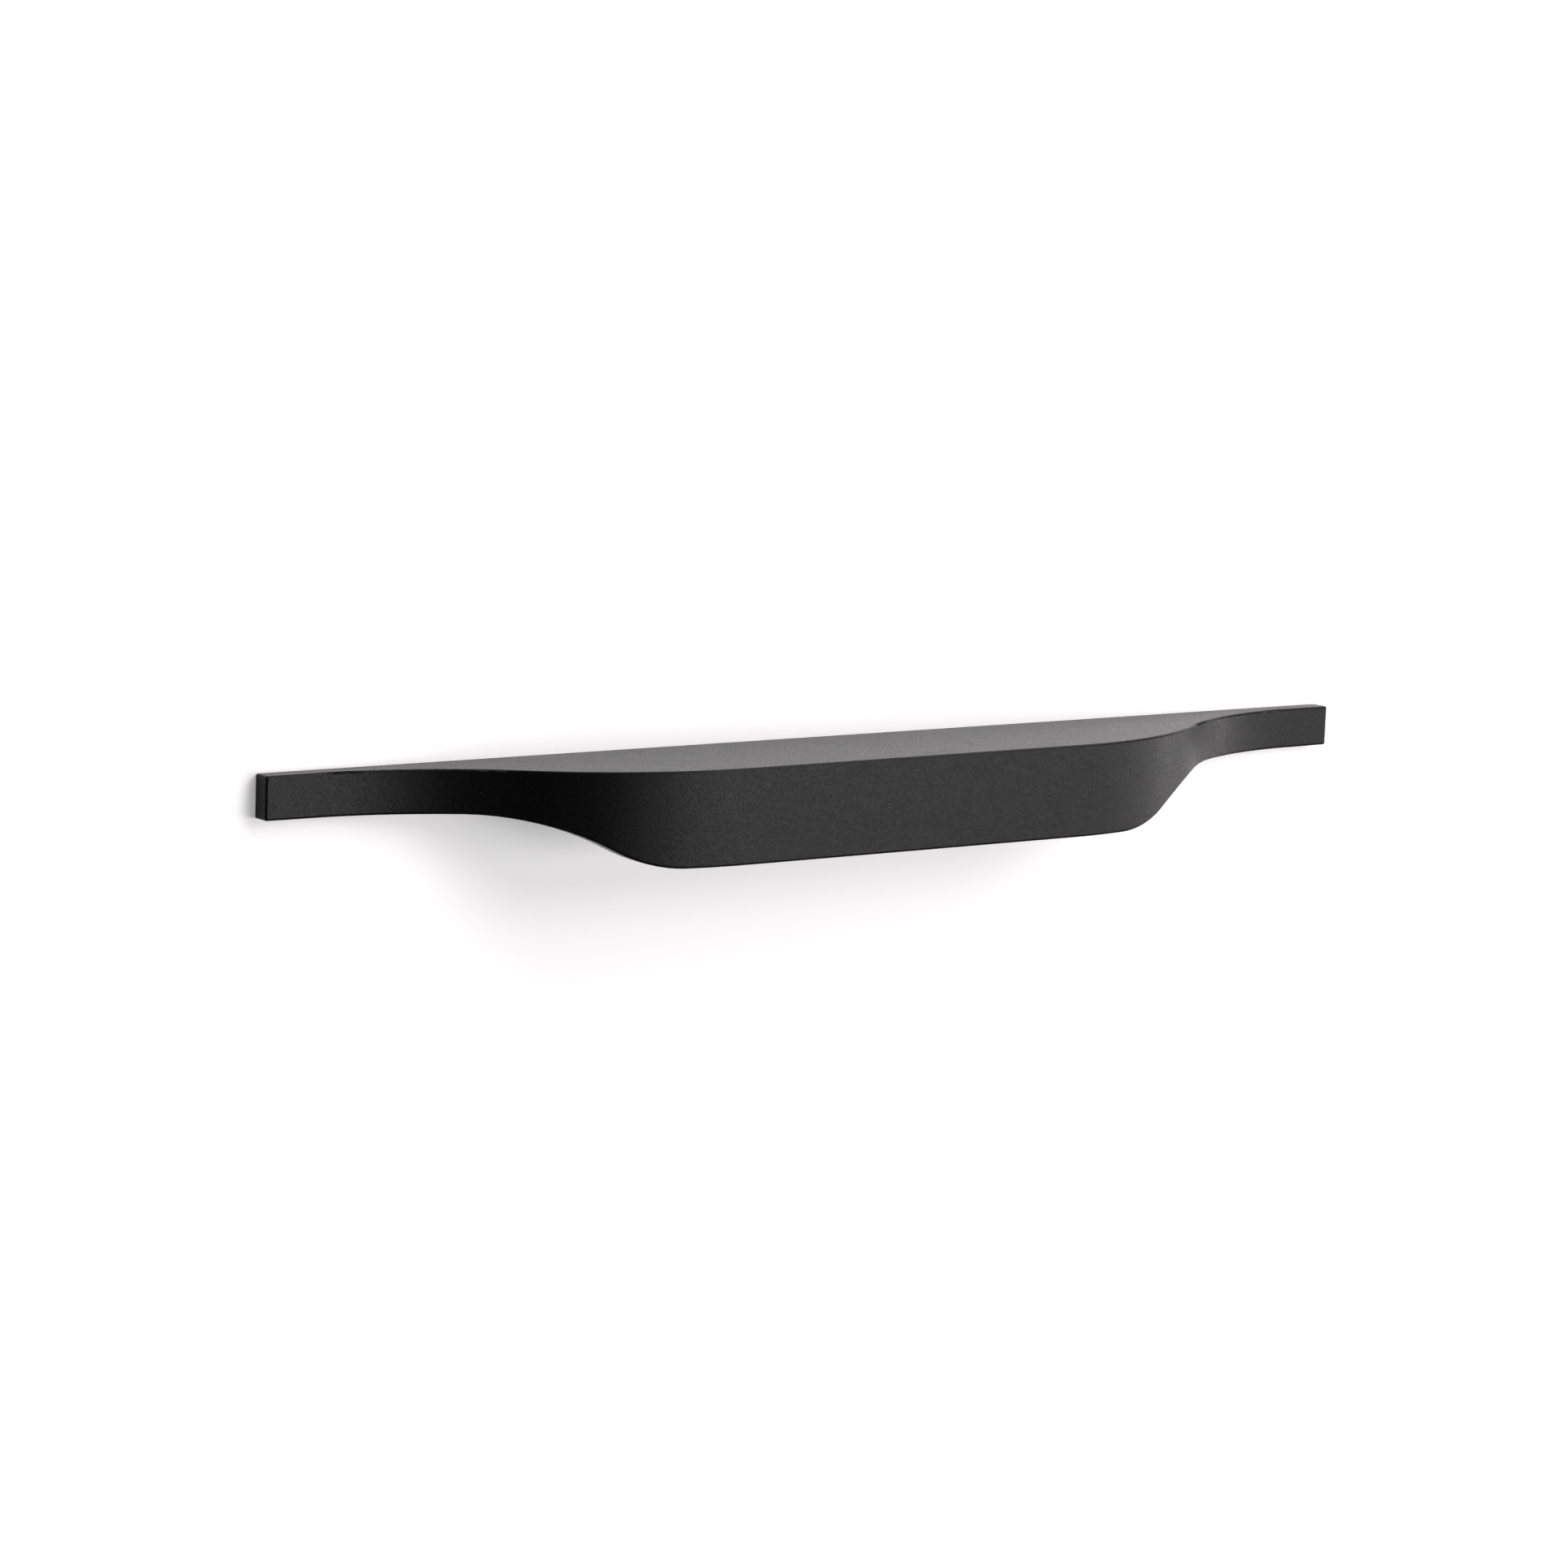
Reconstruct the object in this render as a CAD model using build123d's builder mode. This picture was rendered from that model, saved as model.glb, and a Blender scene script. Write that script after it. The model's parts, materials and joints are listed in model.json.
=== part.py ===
from build123d import *
import os
from math import acos, degrees

# Furniture handle: a bar that lies flat on a door or drawer front and swells into a lip for the fingers.
# The back lies on the plane Y = 0 and the grip stands out towards -Y.
# The origin is midway between the two screw holes, on the back.

# Overall sizes in millimetres
length = 220.0
projection = 25.0
bar_depth = 3.2
bar_height = 7.2
grip_height = 15.7

# Outline seen from above: a straight front, then a crown arc and a root arc back to the bars
front_flat = 68.0
front_crown_radius = 60.0
front_root_radius = 54.0

# Lower edge seen from the front: a straight lip, then a crown arc and a root arc up to the bars
lip_flat = 90.0
lip_crown_radius = 24.0
lip_root_radius = 42.0
bar_taper_angle = 0.3

# Finger recess behind the lip, open below and at the back
plate_thickness = 3.0
lip_thickness = 3.0
recess_draft_angle = 1.5
recess_corner_radius = 2.5
recess_fillet = 2.0

# Tapped screw holes in the back, at the thread's outer radius
hole_spacing = 160.0
hole_radius = 2.0
hole_depth = 5.0
hole_chamfer = 0.4
hole_wall = 3.0

# Softened edges
edge_radius = 0.4

# The top face is level, half a bar's height above the screw holes
top_z = bar_height / 2
bottom_z = top_z - grip_height
recess_length = hole_spacing - 2 * (hole_radius + hole_wall)


def ogee_turn(drop, crown_radius, root_radius):
    """Angle by which a crown arc turns away, and its root arc back again, to cross the drop."""
    return degrees(acos(1 - drop / (crown_radius + root_radius)))


front_turn = ogee_turn(projection - bar_depth, front_crown_radius, front_root_radius)
lip_turn = ogee_turn(grip_height - bar_height, lip_crown_radius, lip_root_radius)


def front_outline(inset):
    """Right half of the outline seen from above, moved in by the inset and closed well behind the back."""
    flat = Line((0, inset - projection), (front_flat / 2, inset - projection))
    crown = JernArc(flat @ 1, flat % 1, front_crown_radius - inset, front_turn)
    root = JernArc(crown @ 1, crown % 1, front_root_radius + inset, -front_turn)
    bar = Line(root @ 1, root @ 1 + (length, 0))
    side = Line(bar @ 1, ((bar @ 1).X, projection))
    Line(side @ 1, (0, projection))


def meets_at_angle(edge):
    """True for an edge where two faces meet at an angle, and not where one runs on smoothly into the other."""
    smooth_limit = 5
    normals = [face.normal_at(edge @ 0.5) for face in handle.faces() if edge in face.edges()]
    return normals[0].get_angle(normals[1]) > smooth_limit


def back():
    """The face that lies against the door or drawer front."""
    return handle.faces().sort_by(Axis.Y)[-1]


def ceiling():
    """The underside of the top plate, inside the recess."""
    return handle.faces().filter_by(Axis.Z).sort_by(Axis.Z)[-2]


with BuildPart() as handle:
    # Body seen from above, cut to length and at the back
    with BuildSketch(Plane.XY.offset(top_z)):
        with BuildLine():
            front_outline(0)
            mirror(about=Plane.YZ)
        make_face()
        Rectangle(length, projection, align=(Align.CENTER, Align.MAX), mode=Mode.INTERSECT)
    extrude(amount=-grip_height)

    # Lower edge seen from the front, with bars that thin a little towards their ends
    with BuildSketch(Plane.XZ):
        with BuildLine():
            lip = Line((0, bottom_z), (lip_flat / 2, bottom_z))
            crown = JernArc(lip @ 1, lip % 1, lip_crown_radius, lip_turn)
            root = JernArc(crown @ 1, crown % 1, lip_root_radius, bar_taper_angle - lip_turn)
            bar = PolarLine(root @ 1, length, direction=root % 1)
            side = Line(bar @ 1, ((bar @ 1).X, top_z + grip_height))
            Line(side @ 1, (0, top_z + grip_height))
            mirror(about=Plane.YZ)
        make_face()
    extrude(amount=projection, mode=Mode.INTERSECT)

    # Finger recess: it follows the front at an even wall, narrows upwards and stops short of the screw holes
    with BuildSketch(Plane.XY.offset(bottom_z)):
        with BuildLine():
            front_outline(lip_thickness)
            mirror(about=Plane.YZ)
        make_face()
        Rectangle(recess_length, 2 * projection, mode=Mode.INTERSECT)
        sides = vertices().group_by(Axis.X)
        fillet([sides[0].sort_by(Axis.Y)[0], sides[-1].sort_by(Axis.Y)[0]], recess_corner_radius)
    extrude(amount=grip_height - plate_thickness, taper=recess_draft_angle, mode=Mode.SUBTRACT)

    # Outer edges are softened, apart from those on the back
    sharp_edges = handle.edges().filter_by(meets_at_angle)
    fillet(sharp_edges - ceiling().edges() - back().edges(), edge_radius)

    # Inside corner between the lip and the top plate
    fillet(ceiling().edges() - back().edges(), recess_fillet)

    # Tapped holes in the back, with a small lead-in at the mouth
    with Locations(Plane.back):
        with GridLocations(hole_spacing, hole_spacing, 2, 1):
            CounterSinkHole(hole_radius, hole_radius + hole_chamfer, hole_depth, 90)

handle.part.label = "handle"
os.makedirs("parts", exist_ok=True)
export_step(handle.part, "parts/handle.step")
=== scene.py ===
# %% [markdown]
# # A furniture handle on a white cupboard front
#
# The handle is one metal casting with a matt black coat. Its shape comes finished from the CAD model, so
# this lesson is about what makes such a plain black thing look real: the camera, the light that runs along
# its curves, the grain of the coat, and the screw threads cut into its back.
#
# The first step loads the imported model. Its box is kept, and the lamps are placed around its middle.

# %% Load the handle
import json

import bpy
import numpy as np
from mathutils import Matrix, Vector


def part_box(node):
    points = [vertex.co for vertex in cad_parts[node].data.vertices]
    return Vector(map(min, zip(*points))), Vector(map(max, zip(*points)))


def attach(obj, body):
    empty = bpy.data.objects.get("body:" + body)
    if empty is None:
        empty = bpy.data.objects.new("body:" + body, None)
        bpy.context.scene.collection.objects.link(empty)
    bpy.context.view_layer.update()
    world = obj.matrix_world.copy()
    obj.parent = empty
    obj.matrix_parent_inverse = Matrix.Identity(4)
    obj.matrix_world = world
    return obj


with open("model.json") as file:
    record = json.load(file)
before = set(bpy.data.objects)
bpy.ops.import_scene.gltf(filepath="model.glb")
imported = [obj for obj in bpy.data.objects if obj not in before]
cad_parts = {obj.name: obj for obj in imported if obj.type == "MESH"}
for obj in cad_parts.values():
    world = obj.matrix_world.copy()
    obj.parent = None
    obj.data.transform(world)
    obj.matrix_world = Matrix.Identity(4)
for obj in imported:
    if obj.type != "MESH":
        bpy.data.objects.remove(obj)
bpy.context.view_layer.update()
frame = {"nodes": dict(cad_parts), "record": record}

mm_per_metre = 1000
handle = frame["nodes"]["handle"]
handle_low, handle_high = (np.array(corner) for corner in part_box("handle"))
print("handle", ((handle_high - handle_low) * mm_per_metre).round(2), "mm")

# %% [markdown]
# ## The camera
#
# The photograph was taken from the front left and a little above, with a long lens that keeps the far end
# of the handle almost as large as the near end. A camera could be placed by eye with a tracking constraint,
# but then the roll of the photograph would be lost. Here the viewing direction is written as three angles,
# and the camera's own axes are worked out from them. The focal length is counted in pixels of the square
# photograph first, and then turned into millimetres for Blender's 36 mm sensor.

# %% Camera
photo_pixels = 1932
focal_pixels = 5789
sensor_width = 36.0
camera_place = np.array([-0.4691, -0.6230, 0.1127])
camera_yaw, camera_pitch, camera_roll = np.radians([36.445, 8.571, 2.118])


def camera_axes(yaw, pitch, roll):
    """Right, up and backward axes of a camera turned right from +Y by yaw, down by pitch, then by roll."""
    forward = np.array([np.sin(yaw) * np.cos(pitch), np.cos(yaw) * np.cos(pitch), -np.sin(pitch)])
    level = np.array([np.cos(yaw), -np.sin(yaw), 0.0])
    upright = np.cross(level, forward)
    right = np.cos(roll) * level + np.sin(roll) * upright
    up = np.cos(roll) * upright - np.sin(roll) * level
    return np.column_stack([right, up, -forward])


camera_matrix = np.eye(4)
camera_matrix[:3, :3] = camera_axes(camera_yaw, camera_pitch, camera_roll)
camera_matrix[:3, 3] = camera_place
camera = bpy.data.objects.new("camera", bpy.data.cameras.new("camera"))
camera.data.sensor_width = sensor_width
camera.data.lens = focal_pixels / photo_pixels * sensor_width
camera.matrix_world = Matrix(camera_matrix.tolist())
bpy.context.scene.collection.objects.link(camera)
bpy.context.scene.camera = camera
print("lens", round(camera.data.lens, 1), "mm")

# %% [markdown]
# ## Helpers for node trees
#
# Every finish below is a small node tree. It could be drawn by hand in the shader editor, but in a script
# each value keeps a name. Four helpers keep the trees short. One starts a material with nothing in it but
# its output, one feeds an input, one adds a node and feeds all its inputs, and one works out a number.

# %% Node helpers


def new_material(name):
    """An empty node material, with its tree and its output node."""
    material = bpy.data.materials.new(name)
    material.use_nodes = True
    material.node_tree.nodes.clear()
    return material, material.node_tree, material.node_tree.nodes.new("ShaderNodeOutputMaterial")


def feed(tree, socket, value):
    """Link the input to the value if that is a socket itself, and otherwise set the value on the input."""
    if isinstance(value, bpy.types.NodeSocket):
        tree.links.new(value, socket)
    else:
        socket.default_value = value


def add_node(tree, kind, settings=None, **inputs):
    """A new node with its settings made and its inputs fed. A space in an input's name is written as _."""
    node = tree.nodes.new(kind)
    for name, value in (settings or {}).items():
        setattr(node, name, value)
    for name, value in inputs.items():
        feed(tree, node.inputs[name.replace("_", " ")], value)
    return node


def combine(tree, operation, first, second):
    """One number worked out from two: their sum, their product or the larger of them."""
    node = add_node(tree, "ShaderNodeMath", {"operation": operation})
    feed(tree, node.inputs[0], first)
    feed(tree, node.inputs[1], second)
    return node.outputs["Value"]


# %% [markdown]
# ## Patterns
#
# A real finish is never one colour and one roughness all over. An image could be wrapped around the piece,
# but it would need seams and show its pixels up close. So a noise in space, from 0 to 1, moves the colour
# and the roughness between two ends. It reads Object coordinates, in metres, and its scale is the number of
# grains in a metre. Finer layers are laid over the coarse one, each weaker than the one before.

# %% Patterns


def noise_pattern(tree, size, layers, layer_share=0.5):
    """A soft random share from 0 to 1, with grains of this size and each layer a share of the one before."""
    noise = add_node(
        tree,
        "ShaderNodeTexNoise",
        Vector=add_node(tree, "ShaderNodeTexCoord").outputs["Object"],
        Scale=1 / size,
        Detail=layers,
        Roughness=layer_share,
    )
    return noise.outputs["Fac"]


def colour_between(tree, share, first, second):
    """The first colour where the share is 0, and the second where it is 1."""
    mix = add_node(tree, "ShaderNodeMix", {"data_type": "RGBA"}, Factor=share)
    first_colour, second_colour, mixed_colour = mix.inputs[6], mix.inputs[7], mix.outputs[2]
    first_colour.default_value = first
    second_colour.default_value = second
    return mixed_colour


def number_between(tree, share, ends):
    """The first end where the share is 0, and the second where it is 1."""
    first, second = ends
    return add_node(tree, "ShaderNodeMapRange", Value=share, To_Min=first, To_Max=second).outputs["Result"]


# %% [markdown]
# ## The black coat
#
# Powder coat is a plastic film that was sprayed on as dust and melted. Looked at closely it is not flat:
# the melted dust leaves fine grains a few tenths of a millimetre across, and under them a slow ripple. The
# film is nearly black, and a matt film gives back little light where it is looked at straight on, yet it
# shines at a low angle. That is why the top of the handle looks grey and its front does not. So the shader
# is a dark one with a weak glossy layer, and grain and ripple go into the colour, the roughness and the
# bump.

# %% Black coat
coat_grain_size, coat_grain_layers, coat_grain_layer_share = 0.00045, 3.0, 0.6
coat_ripple_size, coat_ripple_layers = 0.004, 2.0
coat_dark = (0.0033, 0.0031, 0.0032, 1.0)
coat_light = (0.0049, 0.0047, 0.0048, 1.0)
coat_ripple_roughness = (0.28, 0.34)
coat_grain_roughness = (-0.22, 0.22)
coat_ripple_bump, coat_ripple_height = 0.15, 0.0001
coat_grain_bump, coat_grain_height = 0.6, 0.00006
coat_ior = 1.2


def black_coat():
    """Nearly black film: the grain sets its colour, and ripple and grain add up in roughness and bump."""
    material, tree, output = new_material("matt_black_coat")
    grain = noise_pattern(tree, coat_grain_size, coat_grain_layers, coat_grain_layer_share)
    ripple = noise_pattern(tree, coat_ripple_size, coat_ripple_layers)
    slow_roughness = number_between(tree, ripple, coat_ripple_roughness)
    fine_roughness = number_between(tree, grain, coat_grain_roughness)
    ripple_bump = add_node(
        tree,
        "ShaderNodeBump",
        Height=ripple,
        Strength=coat_ripple_bump,
        Distance=coat_ripple_height,
    )
    grain_bump = add_node(
        tree,
        "ShaderNodeBump",
        Height=grain,
        Strength=coat_grain_bump,
        Distance=coat_grain_height,
        Normal=ripple_bump.outputs["Normal"],
    )
    film = add_node(
        tree,
        "ShaderNodeBsdfPrincipled",
        Base_Color=colour_between(tree, grain, coat_dark, coat_light),
        Roughness=combine(tree, "ADD", slow_roughness, fine_roughness),
        IOR=coat_ior,
        Normal=grain_bump.outputs["Normal"],
    )
    feed(tree, output.inputs["Surface"], film.outputs["BSDF"])
    return material


handle.data.materials[0] = black_coat()
print("coat on", handle.name)

# %% [markdown]
# ## The screw threads
#
# Two machine screws come through the cupboard front from behind and hold the handle. The holes for them are
# tapped after the coating, so their threads are bare zinc. The CAD model bores each hole at the thread's
# outer radius and leaves the thread itself to this script. It could be made with the Screw modifier, from a
# triangle that is turned and raised. But one formula is shorter: it gives the inside radius at every angle
# and depth, and numpy works out the whole sheet at once. The places and the radius of the holes come from
# the record, so they fit the CAD model. Their depth and the chamfer at the mouth repeat its sizes.

# %% Thread formula
screw_holes = next(mount for mount in frame["record"]["mounts"] if mount["name"] == "screw_holes")["dims"]
hole_radius = screw_holes["hole_r_mm"] / mm_per_metre
hole_spacing = screw_holes["spacing_x_mm"] / mm_per_metre
hole_depth = 0.005
mouth_chamfer = 0.0004
thread_pitch = 0.0007
height_in_pitches = 0.541
thread_height = height_in_pitches * thread_pitch
groove_width = thread_pitch / 8
sleeve_gap = 0.000005
sleeve_wall = 0.000012
groove_floor = hole_radius - sleeve_gap - sleeve_wall


def thread_inside(angle, depth):
    """Inside radius of a right-handed 60 degree thread.

    The phase is the depth counted in pitches minus the angle counted in turns, so it is the same all along
    one groove. Its distance from a whole number, times the pitch, is the distance from the middle of the
    groove. The floor of the groove is an eighth of a pitch wide. From its edge the flank leans inwards by
    the root of three times the distance, up to the thread's height. The 45 degree cone of the mouth cuts
    off what stands inside it.
    """
    phase = depth / thread_pitch - angle / (2 * np.pi)
    aside = np.abs(phase - np.round(phase)) * thread_pitch
    flank = np.clip((aside - groove_width / 2) * np.sqrt(3), 0, thread_height)
    mouth_cone = np.minimum(hole_radius + mouth_chamfer - depth, groove_floor)
    return np.maximum(groove_floor - flank, mouth_cone)


inside_diameter, outside_diameter = 2 * (groove_floor - thread_height), 2 * hole_radius
print("thread", round(inside_diameter * mm_per_metre, 2), "mm inside")
print("bore", round(outside_diameter * mm_per_metre, 2), "mm")

# %% [markdown]
# A thread is drawn as a thin closed sleeve in its hole. Its section is a loop: down the threaded inside,
# and back up a plain outside that lies against the bore. The loop goes once around the hole, and both ways
# around the grid close on themselves, so there is no seam and no open edge.

# %% Thread sleeves
around, along = 72, 150
sharp_angle = np.radians(50)


def thread_sleeve(name, middle_x):
    """Closed sleeve: the section's radius and depth, carried around the hole's axis, which runs along Y."""
    angle = np.linspace(0, 2 * np.pi, around, endpoint=False)[:, None]
    depth = np.linspace(mouth_chamfer, hole_depth - sleeve_gap, along)[None, :]
    outside = np.full((around, 2), hole_radius - sleeve_gap)
    radius = np.hstack([thread_inside(angle, depth), outside])
    level = np.broadcast_to(np.hstack([depth, depth[:, [-1, 0]]]), radius.shape)
    points = np.stack([middle_x + radius * np.cos(angle), -level, radius * np.sin(angle)], axis=-1)
    loop_points = radius.shape[1]
    turn = np.arange(around)[:, None] * loop_points
    step = np.arange(loop_points)[None, :]
    next_turn, next_step = np.roll(turn, -1), np.roll(step, -1)
    faces = np.stack([turn + step, turn + next_step, next_turn + next_step, next_turn + step], axis=-1)
    mesh = bpy.data.meshes.new(name)
    mesh.from_pydata(points.reshape(-1, 3).tolist(), [], faces.reshape(-1, 4).tolist())
    mesh.shade_smooth()
    mesh.set_sharp_from_angle(angle=sharp_angle)
    sleeve = bpy.data.objects.new(name, mesh)
    bpy.context.scene.collection.objects.link(sleeve)
    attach(sleeve, "root")
    return sleeve


threads = [
    thread_sleeve("screw_thread_left", -hole_spacing / 2),
    thread_sleeve("screw_thread_right", hole_spacing / 2),
]
print("thread faces", [len(thread.data.polygons) for thread in threads])

# %% [markdown]
# ## Bare zinc
#
# The tap cuts through the coat and leaves bright zinc that soon dulls a little. A metal shader with one
# grey would look like chrome, so a fine noise moves the colour and the roughness, and a weak bump stands
# for the tap's tears.

# %% Bare zinc
zinc_grain_size, zinc_grain_layers = 0.00012, 2.0
zinc_dull = (0.42, 0.42, 0.43, 1.0)
zinc_bright = (0.62, 0.62, 0.63, 1.0)
zinc_roughness = (0.30, 0.45)
tear_bump, tear_height = 0.2, 0.00001


def bare_zinc():
    """Cut metal: colour and roughness follow a fine noise, which also gives the bump."""
    material, tree, output = new_material("bare_zinc")
    grain = noise_pattern(tree, zinc_grain_size, zinc_grain_layers)
    tears = add_node(tree, "ShaderNodeBump", Height=grain, Strength=tear_bump, Distance=tear_height)
    metal = add_node(
        tree,
        "ShaderNodeBsdfPrincipled",
        Base_Color=colour_between(tree, grain, zinc_dull, zinc_bright),
        Roughness=number_between(tree, grain, zinc_roughness),
        Metallic=1.0,
        Normal=tears.outputs["Normal"],
    )
    feed(tree, output.inputs["Surface"], metal.outputs["BSDF"])
    return material


zinc = bare_zinc()
for thread in threads:
    thread.data.materials.append(zinc)
print("zinc on", [thread.name for thread in threads])

# %% [markdown]
# ## The white front behind it
#
# The handle lies on a flat white cupboard front, and its soft shadow there shows that it touches. The front
# is one large sheet just behind the handle's back. Lamps strong enough to make it pure white would flood
# the handle too. So to the camera, and in the coat's reflections, it adds a little light of its own: it is
# white where nothing shades it, and still shows the shadow. Far from the handle, where the lamps no longer
# reach, it goes over into plain white, so that its edges are not seen. From behind it lets the camera
# through, so that the back of the handle can be looked at, and it stops no lamp.

# %% White front
front_gap = 0.0002
front_reach = 2.0
front_glow = 0.32
front_colour = (0.80, 0.80, 0.80, 1.0)
fade_start, fade_end = 0.15, 0.35


def mix_shaders(tree, share, first, second):
    """The first shader where the share is 0, and the second where it is 1."""
    mix = add_node(tree, "ShaderNodeMixShader", Fac=share)
    feed(tree, mix.inputs[1], first)
    feed(tree, mix.inputs[2], second)
    return mix.outputs["Shader"]


def add_shaders(tree, first, second):
    """The light of both shaders together."""
    both = add_node(tree, "ShaderNodeAddShader")
    feed(tree, both.inputs[0], first)
    feed(tree, both.inputs[1], second)
    return both.outputs["Shader"]


def white_front():
    """Near the handle matt white with a glow for what looks at it, far off plain white, clear from behind."""
    material, tree, output = new_material("white_front")
    rays = add_node(tree, "ShaderNodeLightPath").outputs
    looks = combine(tree, "MAXIMUM", rays["Is Camera Ray"], rays["Is Glossy Ray"])
    looks = combine(tree, "MAXIMUM", looks, rays["Is Transmission Ray"])
    paint = add_node(tree, "ShaderNodeBsdfDiffuse", Color=front_colour)
    glow = add_node(tree, "ShaderNodeEmission", Strength=combine(tree, "MULTIPLY", looks, front_glow))
    near = add_shaders(tree, paint.outputs["BSDF"], glow.outputs["Emission"])
    far = add_node(tree, "ShaderNodeEmission", Strength=looks).outputs["Emission"]
    place = add_node(tree, "ShaderNodeTexCoord").outputs["Object"]
    away = add_node(tree, "ShaderNodeVectorMath", {"operation": "LENGTH"}, Vector=place)
    fade = add_node(
        tree,
        "ShaderNodeMapRange",
        {"interpolation_type": "SMOOTHSTEP"},
        Value=away.outputs["Value"],
        From_Min=fade_start,
        From_Max=fade_end,
    )
    face = mix_shaders(tree, fade.outputs["Result"], near, far)
    clear = add_node(tree, "ShaderNodeBsdfTransparent").outputs["BSDF"]
    behind = add_node(tree, "ShaderNodeNewGeometry").outputs["Backfacing"]
    feed(tree, output.inputs["Surface"], mix_shaders(tree, behind, face, clear))
    return material


reach = np.array([[-1, -1], [1, -1], [1, 1], [-1, 1]]) * front_reach / 2
corners = np.column_stack([reach[:, 0], np.full(4, front_gap), reach[:, 1]])
front_mesh = bpy.data.meshes.new("white_front")
front_mesh.from_pydata(corners.tolist(), [], [[0, 1, 2, 3]])
front_mesh.materials.append(white_front())
front = bpy.data.objects.new("white_front", front_mesh)
front.visible_shadow = False
bpy.context.scene.collection.objects.link(front)
print("front faces", tuple(round(x) for x in front_mesh.polygons[0].normal))

# %% [markdown]
# ## The light
#
# On a black coat the light is seen mostly as a reflection, so each tone of the handle tells how bright the
# room is in one direction. The front of the handle is a dark grey, the right hand curve glows and the left
# hand one is nearly black: the light comes from the front right and the right, and none from the left. One
# large lamp would end in a hard line on the curves, so a row of narrow lamps stands side by side in an arc,
# a little below the handle, and each has its own power. Three larger lamps stand higher. They make the soft
# shadow under the grip, which falls to the left.

# %% Lamps
handle_middle = (handle_low + handle_high) / 2
lamp_distance = 1.3
lamp_colour = (1.0, 0.97, 0.985)


def softbox(name, azimuth, elevation, width, height, power):
    """A rectangular lamp that faces the handle. Azimuth 0 is straight in front, and 90 is to the right."""
    turn, lift = np.radians([azimuth, elevation])
    away = np.array([np.sin(turn) * np.cos(lift), -np.cos(turn) * np.cos(lift), np.sin(lift)])
    lamp = bpy.data.objects.new(name, bpy.data.lights.new(name, "AREA"))
    lamp.data.shape = "RECTANGLE"
    lamp.data.size = width
    lamp.data.size_y = height
    lamp.data.energy = power
    lamp.data.color = lamp_colour
    lamp.location = handle_middle + lamp_distance * away
    lamp.rotation_mode = "QUATERNION"
    lamp.rotation_quaternion = Vector(away).to_track_quat("Z", "Y")
    bpy.context.scene.collection.objects.link(lamp)
    return lamp


row_step = 15
row_elevation = -5
row_powers = [1.2, 2.9, 3.2, 2.2, 1.8, 1.3, 1.8]
row_width = lamp_distance * np.radians(row_step)
row_height = 0.4
for place, power in enumerate(row_powers):
    softbox(f"row_lamp_{place}", row_step * place, row_elevation, row_width, row_height, power)
softbox("front_lamp", azimuth=30, elevation=20, width=0.6, height=0.4, power=5.9)
softbox("high_front_lamp", azimuth=30, elevation=45, width=1.0, height=0.6, power=7.0)
softbox("high_side_lamp", azimuth=90, elevation=50, width=1.0, height=0.8, power=11.0)
print("row of", len(row_powers), "lamps, together", round(sum(row_powers), 1), "W")

# %% [markdown]
# The back of the handle looks away from all these lamps. One more lamp behind the front lights the back,
# the finger recess and the threads, for the views from there.

# %% Lamp for the back
back_lamp = softbox("back_lamp", azimuth=145, elevation=-8, width=0.6, height=0.6, power=9.0)
print("back lamp at", [round(x, 2) for x in back_lamp.location], "m")

# %% [markdown]
# The world is white where the camera sees it, past the edges of the front, and nearly dark for everything
# else, so that the lamps alone shape the handle. The view transform is the plain one, which leaves colours
# as they are.

# %% World
white = (1.0, 1.0, 1.0, 1.0)
dim_strength, white_strength = 0.02, 1.0
world = bpy.data.worlds.new("studio")
world.use_nodes = True
bpy.context.scene.world = world
tree = world.node_tree
tree.nodes.clear()
seen = add_node(tree, "ShaderNodeLightPath").outputs["Is Camera Ray"]
dim = add_node(tree, "ShaderNodeBackground", Color=white, Strength=dim_strength).outputs["Background"]
bright = add_node(tree, "ShaderNodeBackground", Color=white, Strength=white_strength).outputs["Background"]
add_node(tree, "ShaderNodeOutputWorld", Surface=mix_shaders(tree, seen, dim, bright))

bpy.context.scene.view_settings.view_transform = "Standard"
